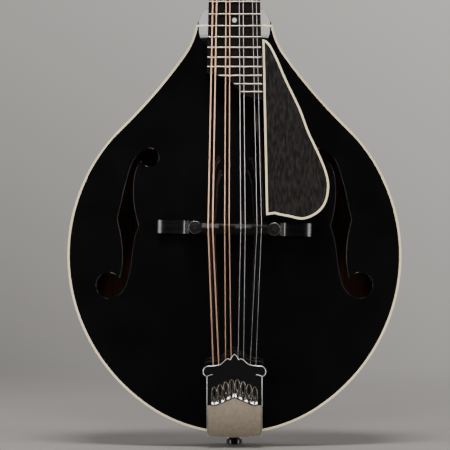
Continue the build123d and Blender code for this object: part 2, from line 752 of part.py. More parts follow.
with BuildPart() as cheeks:
    for above, half, depth in CHEEKS:
        level = Plane(origin=(0, -EDGE_FORWARD, BODY_TOP + above), x_dir=(1, 0, 0), z_dir=(0, 0, -1))
        add(neck_section(level, half, depth))
    loft()
    with BuildSketch(front(EDGE_FORWARD)):
        with Locations((0, BODY_TOP)):
            Rectangle(80, 80)
    extrude(amount=20, mode=Mode.SUBTRACT)


def head_outline(plane):
    """The headstock's outline."""
    with BuildSketch(plane) as outline:
        with BuildLine():
            Spline(*HEAD_SIDE)
            x, y = HEAD_CORNER
            Polyline(HEAD_SIDE[-1], (x, y), (x - 4, y + 6.5))
            ThreePointArc((x - 4, y + 6.5), (12.5, HEAD_LENGTH - 2.4), (0, HEAD_LENGTH))
            mirror(about=Plane.YZ)
            Line((-HEAD_SIDE[0][0], 0), (HEAD_SIDE[0][0], 0))
        make_face()
        fillet(outline.vertices().group_by(Axis.Y)[-2], 3)
    return outline.sketch


# everything the nut and fingerboard take away from the wood under them
with BuildPart() as board_space:
    with BuildSketch(NECK.offset(-BOARD_THICK)):
        with Locations((0, NUT_THICK)):
            Rectangle(120, 280, align=(Align.CENTER, Align.MAX))
    extrude(amount=40)

with BuildPart() as head_slab:
    extrude(head_outline(HEAD.offset(-HEAD_VENEER)), amount=-HEAD_WOOD)
    with BuildSketch(Plane(origin=HEAD.origin, x_dir=HEAD.y_dir, z_dir=(1, 0, 0))):
        with BuildLine():
            Polyline(
                (0, 0),
                (HEAD_LENGTH, 0),
                (HEAD_LENGTH, HEAD_BACK),
                (22, HEAD_BACK),
                (0, HEAD_BACK / 2),
                close=True,
            )
        make_face()
    extrude(amount=60, both=True, mode=Mode.INTERSECT)

with BuildPart(HEAD) as post_holes:
    for number in range(1, 9):
        with Locations((*post_place(number), 0)):
            Cylinder(BARREL_RADIUS, 60)

with BuildPart() as truss_rod:
    with BuildSketch(across(NECK, 13, -BOARD_THICK - CHANNEL[1] + ROD_RADIUS)):
        Circle(ROD_RADIUS)
    extrude(amount=188)
    with BuildSketch(across(NECK, 12.5, -BOARD_THICK - CHANNEL[1] + ROD_RADIUS)):
        RegularPolygon(3.4, 6)
    extrude(amount=7)
    with BuildSketch(across(NECK, -168, -BOARD_THICK - CHANNEL[1] / 2)):
        Rectangle(CHANNEL[0], CHANNEL[1])
    extrude(amount=7)

with BuildPart(NECK) as rod_space:
    with Locations((0, 5, -BOARD_THICK)):
        Box(CHANNEL[0], 181, 2 * CHANNEL[1], align=(Align.CENTER, Align.MAX, Align.CENTER))
    with Locations((0, 4.4, -BOARD_THICK - CHANNEL[1] + ROD_RADIUS)):
        Box(9.0, 16, 8.0, align=(Align.CENTER, Align.MIN, Align.CENTER))
        Box(9.0, 16, 12.0, align=(Align.CENTER, Align.MIN, Align.MIN))

with BuildPart() as headstock_veneer:
    extrude(head_outline(HEAD), amount=-HEAD_VENEER)
    add(board_space.part, mode=Mode.SUBTRACT)
    add(post_holes.part, mode=Mode.SUBTRACT)
    add(rod_space.part, mode=Mode.SUBTRACT)
    add(head_screws, mode=Mode.SUBTRACT)

with BuildPart() as neck:
    add(shaft.part)
    add(heel.part)
    add(cheeks.part)
    with BuildSketch(NECK.offset(-BOARD_THICK)):
        with Locations((0, -198)):
            Rectangle(2 * RISER_HALF, RISER_END - 198, align=(Align.CENTER, Align.MAX))
    extrude(amount=-14)
    with BuildSketch(front(-60)):
        with Locations((0, BODY_TOP)):
            Rectangle(120, 80, align=(Align.CENTER, Align.MAX))
    extrude(amount=60 + EDGE_FORWARD, mode=Mode.SUBTRACT)
    add(TOP_DOME, mode=Mode.SUBTRACT)
    add(board_space.part, mode=Mode.SUBTRACT)
    add(head_root.part)
    add(head_slab.part)
    add(headstock_veneer.part, mode=Mode.SUBTRACT)
    with BuildSketch(HEAD.offset(-HEAD_VENEER)):
        with Locations((0, -2)):
            Rectangle(80, 160, align=(Align.CENTER, Align.MIN))
    extrude(amount=20, mode=Mode.SUBTRACT)
    with BuildSketch(NECK.offset(-BOARD_THICK)):
        with Locations((0, NUT_THICK)):
            Rectangle(60, 20, align=(Align.CENTER, Align.MAX))
    extrude(amount=20, mode=Mode.SUBTRACT)
    add(tenon.part)
    with BuildSketch(front(-EDGE_FORWARD)):
        with Locations((0, BODY_TOP)):
            Rectangle(120, 80)
    extrude(amount=-40, mode=Mode.SUBTRACT)
    add(post_holes.part, mode=Mode.SUBTRACT)
    add(rod_space.part, mode=Mode.SUBTRACT)
    add(head_screws, mode=Mode.SUBTRACT)

with BuildPart() as heel_cap:
    add(heel.part)
    add(cheeks.part)
    with BuildSketch(front(-EDGE_FORWARD)):
        with Locations((0, BODY_TOP)):
            Rectangle(120, 80, align=(Align.CENTER, Align.MIN))
    extrude(amount=-HEEL_CAP, mode=Mode.INTERSECT)

# ---------------------------------------------------------------- tuners

PLATE_SIZE = (15.0, 96.5)
PLATE_CENTRE = 66.3
BUSHING_LENGTH = 9.0
BUSHING_FLANGE = (5.25, 0.8)
POST_TOP = 12.0
POST_COLLAR = 3.9
GEAR_LEVEL = PLATE_BACK - 2.7
TEETH = 16
WHEEL_PITCH = 4.5
WORM_PITCH = 2.1
WORM_DISTANCE = 6.7
GEAR_WIDTH = 3.0
TOOTH_THICK = 0.72
FLANK = tan(radians(20))
THREAD_PITCH = 2 * pi * WHEEL_PITCH / TEETH
WORM_HALF = 3.2
LUG_PLACE = 5.0
LUG_THICK = 1.6
LUG_ROUND = 2.6
SHAFT_RADIUS = 1.5
SHAFT_END = 27.5
BUTTON_START = 16.5
BUTTON_LENGTH = 16.0
BUTTON_WIDTH = 13.0
BUTTON_THICK = 7.2


def worm_place(number):
    """Where a post's worm turns: its axis lies across the headstock on the nut's side of the wheel."""
    x, along = post_place(number)
    outward = 90 if x > 0 else -90
    return HEAD.location * Location((x, along - WORM_DISTANCE, GEAR_LEVEL), (0, outward, 0))


with BuildPart(HEAD) as post_bushings:
    for number in range(1, 9):
        with Locations((*post_place(number), -BUSHING_LENGTH)):
            Cylinder(BARREL_RADIUS, BUSHING_LENGTH, align=UPWARD)
        with Locations((*post_place(number), 0)):
            flange_radius, flange_thick = BUSHING_FLANGE
            Cylinder(flange_radius, flange_thick, align=UPWARD)
            Cylinder(POST_RADIUS + RUNNING_GAP, 60, mode=Mode.SUBTRACT)


def tuner_plate(side):
    """Plate behind the headstock with two lugs for each worm shaft."""
    numbers = range(1, 5) if side < 0 else range(5, 9)
    with BuildPart(HEAD) as plate:
        with BuildSketch(HEAD.offset(HEAD_BACK)):
            with Locations((side * POST_OFFSET, PLATE_CENTRE)):
                RectangleRounded(*PLATE_SIZE, 3)
        extrude(amount=-PLATE_THICK)
        for number in numbers:
            x, along = post_place(number)
            rise = PLATE_BACK - GEAR_LEVEL
            for lug_x in (x - LUG_PLACE, x + LUG_PLACE):
                with Locations((lug_x, along - WORM_DISTANCE, GEAR_LEVEL)):
                    Box(LUG_THICK, 2 * LUG_ROUND, rise, align=UPWARD)
                    Cylinder(LUG_ROUND, LUG_THICK, rotation=(0, 90, 0))
                    Cylinder(SHAFT_RADIUS + RUNNING_GAP, 3, rotation=(0, 90, 0), mode=Mode.SUBTRACT)
            with Locations((x, along, PLATE_BACK)):
                Cylinder(POST_RADIUS + RUNNING_GAP, 10, mode=Mode.SUBTRACT)
    with BuildPart() as screwed:
        add(plate.part)
        add(head_screws, mode=Mode.SUBTRACT)
    return screwed.part


def wheel_face(level):
    """Outline of the worm wheel at a level along its axis, turned to follow the worm's thread."""
    thick = TOOTH_THICK / 2
    edges = ((4.05, thick + 0.45 * FLANK), (4.9, thick - 0.4 * FLANK))
    twist = level * THREAD_PITCH / (2 * pi * WORM_PITCH) / WHEEL_PITCH
    points = []
    for tooth in range(TEETH):
        (root, root_half), (tip, tip_half) = edges
        for radius, half in ((root, -root_half), (tip, -tip_half), (tip, tip_half), (root, root_half)):
            turn = 2 * pi * tooth / TEETH + half / WHEEL_PITCH + twist
            points.append((radius * cos(turn), radius * sin(turn)))
    with BuildSketch(Plane.XY.offset(GEAR_LEVEL + level)) as face:
        with BuildLine():
            Polyline(*points, close=True)
        make_face()
    return face.sketch


def string_post(number):
    """Post with its worm wheel, the screw under the wheel and the string's turns around the post."""
    course = [name for (name, which), post in POST_OF_STRING.items() if post == number][0]
    string_radius = STRING_RADII[course]
    turns = 3 if string_radius > 0.3 else 6
    with BuildPart() as post:
        loft([wheel_face(-GEAR_WIDTH / 2), wheel_face(GEAR_WIDTH / 2)], ruled=True)
        wheel_top = GEAR_LEVEL + GEAR_WIDTH / 2
        with Locations((0, 0, wheel_top)):
            collar = PLATE_BACK - RUNNING_GAP - wheel_top
            Cylinder(POST_COLLAR, collar, align=UPWARD)
            Cylinder(POST_RADIUS, POST_TOP - wheel_top, align=UPWARD)
        chamfer(post.faces().sort_by(Axis.Z)[-1].edges(), 0.6)
        with Locations((0, 0, wheel_top - GEAR_WIDTH)):
            Cylinder(2.3, 1.1, align=(Align.CENTER, Align.CENTER, Align.MAX))
        with Locations((0, 0, wheel_top - GEAR_WIDTH - 1.1)):
            Box(6, 0.6, 1.2, mode=Mode.SUBTRACT)
        with Locations((0, 0, 9.6)):
            Cylinder(0.9, 10, rotation=(0, 90, 0), mode=Mode.SUBTRACT)
        for turn in range(turns):
            with Locations((0, 0, STRING_LEVEL + 0.1 + (turn + 1) * (2 * string_radius + 0.03))):
                Torus(POST_RADIUS + 0.9 * string_radius, string_radius)
    return post.part.moved(HEAD.location * Location((*post_place(number), 0)))


with BuildPart() as worm:
    with BuildLine():
        start = THREAD_PITCH * (0.25 - 3)
        path = Helix(THREAD_PITCH, 6 * THREAD_PITCH, WORM_PITCH, center=(0, 0, start))
    with BuildSketch(Plane(origin=path @ 0, x_dir=(1, 0, 0), z_dir=path % 0)):
        with BuildLine():
            root_half = TOOTH_THICK / 2 + 0.5 * FLANK
            tip_half = TOOTH_THICK / 2 - 0.45 * FLANK
            Polyline((-0.5, -root_half), (0.45, -tip_half), (0.45, tip_half), (-0.5, root_half), close=True)
        make_face()
    sweep(path=path, is_frenet=True)
    Cylinder(1.65, 12)
    Cylinder(3, 2 * WORM_HALF, mode=Mode.INTERSECT)
    collar_end = LUG_PLACE - LUG_THICK / 2 - RUNNING_GAP
    Cylinder(1.64, 2 * collar_end)
    with Locations((0, 0, WORM_HALF)):
        Cylinder(2.1, collar_end - WORM_HALF, align=UPWARD)
    with Locations((0, 0, -WORM_HALF)):
        Cylinder(2.1, collar_end - WORM_HALF, align=(Align.CENTER, Align.CENTER, Align.MAX))
    with Locations((0, 0, -LUG_PLACE - LUG_THICK)):
        Cylinder(SHAFT_RADIUS, SHAFT_END + LUG_PLACE + LUG_THICK, align=UPWARD)

with BuildPart() as button:
    with BuildSketch(Plane.YZ.offset(-BUTTON_THICK / 2)):
        with Locations((0, BUTTON_START + BUTTON_LENGTH / 2)):
            Ellipse(BUTTON_WIDTH / 2, BUTTON_LENGTH / 2)
    extrude(amount=BUTTON_THICK)
    fillet(button.edges().filter_by(Plane.YZ), 2.4)
    with Locations((0, 0, BUTTON_START - 0.8)):
        Cylinder(2.7, 4, align=UPWARD)
        Cylinder(SHAFT_RADIUS, SHAFT_END - BUTTON_START + 0.8, align=UPWARD, mode=Mode.SUBTRACT)

# ---------------------------------------------------------------- truss rod cover and pickguard

COVER_SIDE = ((8.6, 1.2), (8.3, 7.5), (5.6, 14.0), (4.3, 22.0), (4.2, 30.0))
GUARD_FRONT = -1.0
GUARD_THICK = 3.0
GUARD_BINDING = 1.5
# the pickguard's curved edges from the fingerboard round to its lower side: across, distance from the nut
GUARD_OUTER = (
    (20.7, 214.0),
    (25.2, 216.4),
    (28.0, 220.6),
    (31.8, 228.2),
    (36.5, 239.5),
    (41.2, 249.8),
    (50.6, 270.6),
    (54.6, 281.9),
    (60.0, 293.6),
    (64.4, 303.4),
    (67.5, 311.5),
    (69.4, 319.6),
)
GUARD_LOWER = (
    (69.4, 319.6),
    (69.4, 326.8),
    (67.2, 335.7),
    (62.7, 342.0),
    (56.4, 346.1),
    (49.2, 347.9),
    (40.3, 346.1),
    (29.5, 343.8),
)
GUARD_CORNER = (23.3, 344.7)
GUARD_FOOT = (50.0, 325.0, 3.0)
BRACKET_WIDTH = 10.0
BRACKET_END = 27.5
BRACKET_PLACE = -229.0

with BuildPart() as truss_rod_cover:
    with BuildSketch(HEAD):
        with BuildLine():
            Spline(*COVER_SIDE)
            ThreePointArc(COVER_SIDE[-1], (3.0, 33.2), (0, 34.6))
            mirror(about=Plane.YZ)
            Line((-COVER_SIDE[0][0], COVER_SIDE[0][1]), COVER_SIDE[0])
        make_face()
    extrude(amount=COVER_THICK)
    add(head_screws, mode=Mode.SUBTRACT)


def guard_face(plane, inset):
    """The pickguard's outline brought in by an inset, its inner curves redrawn as plain splines."""
    with BuildSketch() as flat:
        with BuildLine():
            outer = Spline(*[(x, -along) for x, along in GUARD_OUTER])
            Spline(*[(x, -along) for x, along in GUARD_LOWER], tangents=[outer % 1, (-1, 0.3)])
            corners = (GUARD_LOWER[-1], GUARD_CORNER, GUARD_OUTER[0])
            Polyline(*[(x, -along) for x, along in corners])
        make_face()
        if inset:
            offset(amount=-inset, kind=Kind.ARC, mode=Mode.REPLACE)
    with BuildSketch(plane) as face:
        with BuildLine():
            for edge in flat.sketch.face().outer_wire().edges():
                steps = 1 if edge.geom_type == GeomType.LINE else max(4, int(edge.length / 4))
                places = [edge @ (n / steps) for n in range(steps + 1)]
                Spline(*[(place.X, place.Y) for place in places])
        make_face()
    return face.sketch


GUARD_PLANE = NECK.offset(GUARD_FRONT)

with BuildPart() as pickguard:
    extrude(guard_face(GUARD_PLANE, GUARD_BINDING), amount=-GUARD_THICK)

with BuildPart() as pickguard_binding:
    extrude(guard_face(GUARD_PLANE, 0), amount=-GUARD_THICK)
    add(pickguard.part, mode=Mode.SUBTRACT)

x, along, radius = GUARD_FOOT
with BuildPart(NECK) as foot:
    with Locations((x, -along, GUARD_FRONT - GUARD_THICK)):
        Cylinder(radius, 16, align=(Align.CENTER, Align.CENTER, Align.MAX))

with BuildPart() as pickguard_supports:
    add(foot.part)
    add(TOP_DOME, mode=Mode.SUBTRACT)
    with BuildSketch(across(NECK, BRACKET_PLACE + BRACKET_WIDTH / 2)):
        with BuildLine():
            Polyline(
                (RISER_HALF, -9),
                (RISER_HALF, -5.2),
                (22, -5.2),
                (22, -4),
                (BRACKET_END, -4),
                (BRACKET_END, -9),
                close=True,
            )
        make_face()
    extrude(amount=BRACKET_WIDTH)

save("top_plate", top_plate.part)
save("back_plate", back_plate.part)
save("top_binding", top_binding.part)
save("back_binding", back_binding.part)
save("rim", rim.part)
save("head_block", head_block.part)
save("tail_block", tail_block.part)
save("linings", linings.part)
save("tone_bars", tone_bars.part)
save("fingerboard", fingerboard.part)
save("frets", frets.part)
save("position_dots", position_dots.part)
save("nut", nut.part)
save("bridge_base", bridge_base.part)
save("bridge_studs", bridge_studs.part)
save("bridge_wheel_bass", thumbwheel(-1))
save("bridge_wheel_treble", thumbwheel(1))
save("bridge_saddle", bridge_saddle.part)
save("end_pin", end_pin.part)
save("tailpiece", tailpiece_bored.part)
for course in COURSES:
    pair = STRING_SOLIDS[course, -1].solids() + STRING_SOLIDS[course, 1].solids()
    save(f"{course}_strings", Compound(pair))
save("neck", neck.part)
save("heel_cap", heel_cap.part)
save("truss_rod", truss_rod.part)
save("truss_rod_cover", truss_rod_cover.part)
save("headstock_veneer", headstock_veneer.part)
save("wood_screws", Compound(head_screws + tail_screws))
save("post_bushings", post_bushings.part)
save("tuner_plate_bass", tuner_plate(-1))
save("tuner_plate_treble", tuner_plate(1))
save("pickguard", pickguard.part)
save("pickguard_binding", pickguard_binding.part)
save("pickguard_supports", pickguard_supports.part)
for number in range(1, 9):
    save(f"worm_shaft_{number}", worm.part.moved(worm_place(number)))
    save(f"tuner_button_{number}", button.part.moved(worm_place(number)))
    save(f"string_post_{number}", string_post(number))
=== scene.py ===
import bpy
import bmesh
import math
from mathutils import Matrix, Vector


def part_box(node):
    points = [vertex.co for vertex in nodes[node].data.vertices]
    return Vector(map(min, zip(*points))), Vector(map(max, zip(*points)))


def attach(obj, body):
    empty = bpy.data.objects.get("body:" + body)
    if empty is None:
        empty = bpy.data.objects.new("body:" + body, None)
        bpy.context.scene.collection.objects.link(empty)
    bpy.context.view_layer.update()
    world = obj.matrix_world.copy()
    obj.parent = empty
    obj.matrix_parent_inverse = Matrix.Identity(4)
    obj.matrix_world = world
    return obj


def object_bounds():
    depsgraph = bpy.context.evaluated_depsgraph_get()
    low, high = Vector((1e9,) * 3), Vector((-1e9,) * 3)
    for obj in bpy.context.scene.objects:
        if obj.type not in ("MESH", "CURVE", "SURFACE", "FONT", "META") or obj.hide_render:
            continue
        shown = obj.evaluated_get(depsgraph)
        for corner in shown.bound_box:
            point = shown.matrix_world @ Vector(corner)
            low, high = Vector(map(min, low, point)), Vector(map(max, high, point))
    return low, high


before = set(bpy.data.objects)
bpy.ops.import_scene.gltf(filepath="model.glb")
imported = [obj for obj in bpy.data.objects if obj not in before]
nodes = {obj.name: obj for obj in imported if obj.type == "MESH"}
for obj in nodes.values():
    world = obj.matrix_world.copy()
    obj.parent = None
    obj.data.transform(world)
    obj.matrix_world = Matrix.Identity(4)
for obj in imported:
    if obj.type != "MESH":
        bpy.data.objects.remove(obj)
cad_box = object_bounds()

# All lengths are metres in the frame: X to the right, Z up the neck, and the soundboard faces -Y.
# "Forward" is a distance along -Y, and "up" on the tailpiece is a height above the tail.
FLOOR = cad_box[0][2]
TAIL_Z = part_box("rim")[0][2]
BODY_MIDDLE = -0.385

# ---------------------------------------------------------------- materials

BUMP_DEPTH = 0.0002


def add_node(tree, kind, inputs=None, **settings):
    """A new shader node; an input, by name or number, takes a value or another node's output."""
    node = tree.nodes.new("ShaderNode" + kind)
    for name, value in settings.items():
        setattr(node, name, value)
    for key, value in (inputs or {}).items():
        if isinstance(value, bpy.types.NodeSocket):
            tree.links.new(value, node.inputs[key])
        else:
            node.inputs[key].default_value = value
    return node


def math_node(tree, operation, first, second=0.0):
    """A number worked out from one or two numbers, each a value or another node's output."""
    return add_node(tree, "Math", {0: first, 1: second}, operation=operation).outputs[0]


def vector_node(tree, operation, inputs):
    """A vector or a number worked out from vectors."""
    return add_node(tree, "VectorMath", inputs, operation=operation)


def ranged(tree, value, from_min, from_max, to_min=0.0, to_max=1.0, smooth=True):
    """A clamped range: to_min at from_min and to_max at from_max, smooth or straight between."""
    node = add_node(tree, "MapRange", {
        "Value": value, "From Min": from_min, "From Max": from_max, "To Min": to_min, "To Max": to_max,
    }, interpolation_type="SMOOTHSTEP" if smooth else "LINEAR")
    return node.outputs["Result"]


def stretched_noise(tree, scale, detail):
    """Noise with its own scale along each of the object's axes."""
    place = add_node(tree, "TexCoord")
    mapping = add_node(tree, "Mapping", {"Vector": place.outputs["Object"], "Scale": scale})
    noise = add_node(tree, "TexNoise", {"Vector": mapping.outputs["Vector"], "Scale": 1.0, "Detail": detail})
    return noise.outputs["Fac"]


def two_colours(tree, share, dark, light, contrast):
    """A colour that runs from dark to light between the two ends of the contrast."""
    ramp = add_node(tree, "ValToRGB", {"Fac": share})
    for index, colour in enumerate((dark, light)):
        ramp.color_ramp.elements[index].position = contrast[index]
        ramp.color_ramp.elements[index].color = (*colour, 1)
    return ramp.outputs["Color"]


def surface(name, colour, dark, rough, scale, metallic=0.0, detail=4.0, bump=0.0, rough_range=0.0,
            specular=None, ior=None, contrast=(0.35, 0.65)):
    """A surface whose colour, gloss and fine relief vary with one stretched noise."""
    mat = bpy.data.materials.new(name)
    mat.use_nodes = True
    tree = mat.node_tree
    shader = tree.nodes["Principled BSDF"]
    shader.inputs["Base Color"].default_value = (*colour, 1)
    shader.inputs["Metallic"].default_value = metallic
    shader.inputs["Roughness"].default_value = rough
    if specular is not None:
        shader.inputs["Specular IOR Level"].default_value = specular
    if ior is not None:
        shader.inputs["IOR"].default_value = ior
    noise = stretched_noise(tree, scale, detail)
    tree.links.new(two_colours(tree, noise, dark, colour, contrast), shader.inputs["Base Color"])
    if rough_range:
        spread = ranged(tree, noise, 0.0, 1.0, rough, rough + rough_range, smooth=False)
        tree.links.new(spread, shader.inputs["Roughness"])
    if bump:
        relief = add_node(tree, "Bump", {"Height": noise, "Strength": bump, "Distance": BUMP_DEPTH})
        tree.links.new(relief.outputs["Normal"], shader.inputs["Normal"])
    return mat


# woods, with the grain up the neck or across the bridge
BARE = surface("bare_spruce", (0.42, 0.23, 0.11), (0.25, 0.12, 0.055), 0.62, (900, 900, 14), bump=0.25)
EBONY = surface("ebony", (0.010, 0.0070, 0.0058), (0.005, 0.004, 0.0035), 0.5, (700, 700, 40),
                bump=0.3, rough_range=0.15, specular=0.08)
BRIDGE_EBONY = surface("polished_ebony", (0.010, 0.0095, 0.0095), (0.005, 0.0045, 0.0045), 0.20,
                       (40, 700, 700), bump=0.12, rough_range=0.10, specular=0.45)
SADDLE_EBONY = surface("satin_ebony", (0.016, 0.015, 0.0145), (0.008, 0.0075, 0.007), 0.48,
                       (40, 700, 700), bump=0.2, rough_range=0.1, specular=0.2)
GUARD = surface("pickguard_veneer", (0.026, 0.022, 0.020), (0.005, 0.0045, 0.0045), 0.52,
                (760, 300, 170), detail=8.0, bump=0.35, rough_range=0.1, specular=0.13, contrast=(0.38, 0.72))

# lacquers
BLACK = surface("black_lacquer", (0.0045, 0.0045, 0.005), (0.0035, 0.0035, 0.004), 0.05, (40, 40, 40),
                bump=0.02, rough_range=0.03, ior=1.5)
CHEEK = surface("heel_lacquer", (0.010, 0.010, 0.011), (0.007, 0.007, 0.008), 0.12, (60, 60, 60),
                rough_range=0.05, ior=1.55)

# plastics, pearl and bone
IVORY = surface("ivory_binding", (0.95, 0.84, 0.57), (0.90, 0.75, 0.46), 0.32, (60, 60, 25),
                bump=0.05, rough_range=0.1)
PEARL = surface("pearl", (0.70, 0.71, 0.70), (0.48, 0.50, 0.50), 0.25, (500, 500, 300), rough_range=0.1)
BONE = surface("bone", (0.80, 0.76, 0.64), (0.70, 0.65, 0.52), 0.35, (300, 300, 60), bump=0.05)
PLASTIC = surface("black_plastic", (0.012, 0.012, 0.012), (0.006, 0.006, 0.006), 0.2, (200, 200, 200),
                  bump=0.05, rough_range=0.1)
BUTTON = surface("button_celluloid", (0.82, 0.76, 0.62), (0.68, 0.60, 0.46), 0.22, (80, 80, 80),
                 bump=0.03, rough_range=0.08)

# metals
NICKEL = surface("nickel", (0.78, 0.76, 0.72), (0.68, 0.66, 0.62), 0.18, (120, 120, 120), 1.0,
                 bump=0.04, rough_range=0.12)
FRET = surface("fret_wire", (0.60, 0.53, 0.44), (0.46, 0.40, 0.33), 0.34, (300, 90, 300), 1.0,
               bump=0.03, rough_range=0.08)
BRASS = surface("brass", (0.72, 0.55, 0.28), (0.58, 0.43, 0.20), 0.28, (150, 150, 150), 1.0,
                bump=0.05, rough_range=0.15)
STEEL = surface("plain_steel", (0.66, 0.62, 0.61), (0.56, 0.53, 0.52), 0.36, (30, 30, 30), 1.0)
BRONZE = surface("bronze_winding", (0.84, 0.52, 0.36), (0.74, 0.43, 0.28), 0.38, (60, 60, 4000), 1.0,
                 bump=0.06)
PLATE = surface("satin_nickel", (0.45, 0.375, 0.29), (0.38, 0.315, 0.245), 0.5, (420, 420, 420), 0.25,
                detail=6.0, bump=0.06, rough_range=0.08)
WORN_NICKEL = surface("worn_rims", (0.46, 0.42, 0.37), (0.30, 0.27, 0.23), 0.30, (500, 500, 500), 1.0,
                      rough_range=0.12)
BRIGHT = surface("polished_edge", (0.92, 0.91, 0.88), (0.84, 0.83, 0.80), 0.34, (200, 200, 200), 1.0,
                 rough_range=0.1)
# near-white metal for the pocket lips: a painted highlight, on top of their real tilt towards the lamp above
SCOOP_HIGHLIGHT = surface("pocket_scoop_highlight", (0.97, 0.96, 0.93), (0.90, 0.89, 0.86), 0.42, (250, 250, 250), 1.0)


def blend_in(mat, mask, colour, rough):
    """Gives a material a second colour and gloss wherever the mask is 1."""
    tree = mat.node_tree
    shader = tree.nodes["Principled BSDF"]
    for name, value, kind in (("Base Color", colour, "RGBA"), ("Roughness", rough, "FLOAT")):
        target = shader.inputs[name]
        mix = add_node(tree, "Mix", {0: mask}, data_type=kind)
        first, second = [entry for entry in mix.inputs if entry.name in ("A", "B") and entry.enabled]
        tree.links.new(target.links[0].from_socket, first)
        if isinstance(value, bpy.types.NodeSocket):
            tree.links.new(value, second)
        else:
            second.default_value = value
        result = [entry for entry in mix.outputs if entry.enabled][0]
        tree.links.new(result, target)


def lacquered(name, inward=None):
    """Black lacquer, with bare wood on faces that look inward or, by default, towards the body's middle."""
    mat = BLACK.copy()
    mat.name = name
    tree = mat.node_tree
    normal = add_node(tree, "NewGeometry").outputs["True Normal"]
    if inward is None:
        place = add_node(tree, "TexCoord").outputs["Object"]
        away = vector_node(tree, "MULTIPLY_ADD", {0: place, 1: (-1, 0, -1), 2: (0, 0, BODY_MIDDLE)})
        inward = vector_node(tree, "NORMALIZE", {0: away.outputs[0]}).outputs[0]
    facing = vector_node(tree, "DOT_PRODUCT", {0: normal, 1: inward}).outputs["Value"]
    grain = stretched_noise(tree, (700, 700, 12), 5.0)
    wood = two_colours(tree, grain, (0.15, 0.065, 0.038), (0.27, 0.125, 0.070), (0.35, 0.65))
    blend_in(mat, ranged(tree, facing, 0.30, 0.34), wood, 0.6)
    return mat


TOP_LACQUER = lacquered("soundboard_lacquer", (0, 1, 0))
BACK_LACQUER = lacquered("back_lacquer", (0, -1, 0))
RIM_LACQUER = lacquered("rim_lacquer")

# the border between the tailpiece's satin plate and its crown: an arch, flat beyond its half width
ARCH_TOP = 0.0277
ARCH_HALF = 0.0128
ARCH_SLOPE = 0.42
CROWN_FACE = -0.0365


def tailpiece_satin_and_painted_reflection():
    """Satin below the pockets, and polished metal on the front of the crown above them, coloured near-black
    as a painted dark reflection.
    """
    mat = PLATE.copy()
    mat.name = "tailpiece_satin_and_painted_reflection"
    tree = mat.node_tree
    place = add_node(tree, "TexCoord").outputs["Object"]
    x, y, z = add_node(tree, "SeparateXYZ", {0: place}).outputs
    fall = math_node(tree, "MINIMUM", math_node(tree, "ABSOLUTE", x), ARCH_HALF)
    fall = math_node(tree, "MULTIPLY", fall, ARCH_SLOPE)
    level = math_node(tree, "SUBTRACT", math_node(tree, "ADD", fall, z), TAIL_Z + ARCH_TOP)
    in_front = math_node(tree, "LESS_THAN", y, CROWN_FACE)
    crown = math_node(tree, "MULTIPLY", ranged(tree, level, -0.0002, 0.0004), in_front)
    # painted reflection: the crown's front gets a near-black colour in place of the dark it mirrors
    blend_in(mat, crown, (0.011, 0.011, 0.012, 1), 0.07)
    return mat


def paint(obj, mat):
    """Gives an object one material."""
    obj.data.materials.clear()
    obj.data.materials.append(mat)


def numbered(name):
    """The eight nodes of one kind."""
    return [f"{name}_{number}" for number in range(1, 9)]


for mat, names in (
    (TOP_LACQUER, ["top_plate"]),
    (BACK_LACQUER, ["back_plate"]),
    (RIM_LACQUER, ["rim"]),
    (BARE, ["linings", "head_block", "tail_block", "tone_bars"]),
    (IVORY, ["top_binding", "back_binding", "heel_cap", "pickguard_binding"]),
    (BLACK, ["neck", "headstock_veneer"]),
    (EBONY, ["fingerboard"]),
    (FRET, ["frets"]),
    (PEARL, ["position_dots"]),
    (BONE, ["nut"]),
    (GUARD, ["pickguard"]),
    (BRIDGE_EBONY, ["bridge_base"]),
    (SADDLE_EBONY, ["bridge_saddle"]),
    (tailpiece_satin_and_painted_reflection(), ["tailpiece"]),
    (PLASTIC, ["end_pin", "truss_rod_cover"]),
    (BRONZE, ["g_strings", "d_strings"]),
    (STEEL, ["a_strings", "e_strings", "truss_rod"]),
    (BRASS, ["pickguard_supports", *numbered("worm_shaft")]),
    (BUTTON, numbered("tuner_button")),
    (NICKEL, ["bridge_studs", "bridge_wheel_bass", "bridge_wheel_treble", "tuner_plate_bass",
              "tuner_plate_treble", "post_bushings", "wood_screws", *numbered("string_post")]),
):
    for name in names:
        paint(nodes[name], mat)

# ---------------------------------------------------------------- how pieces are made

FRONT_FACING = -0.6
SIDE_FACING = -0.35
BEAD_GAP = 0.0008


def mesh_piece(name, verts, faces, mat, slot):
    """A smooth mesh object that rides on the instrument."""
    mesh = bpy.data.meshes.new(name)
    mesh.from_pydata(verts, [], faces)
    shape = bmesh.new()
    shape.from_mesh(mesh)
    bmesh.ops.remove_doubles(shape, verts=shape.verts, dist=1e-7)
    bmesh.ops.recalc_face_normals(shape, faces=shape.faces)
    shape.to_mesh(mesh)
    shape.free()
    mesh.validate()
    for polygon in mesh.polygons:
        polygon.use_smooth = True
    obj = bpy.data.objects.new(name, mesh)
    bpy.context.scene.collection.objects.link(obj)
    paint(obj, mat)
    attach(obj, "instrument")


def joined(parts):
    """Several (verts, faces) pairs as one."""
    verts, faces = [], []
    for more_verts, more_faces in parts:
        start = len(verts)
        verts += more_verts
        faces += [tuple(start + index for index in face) for face in more_faces]
    return verts, faces


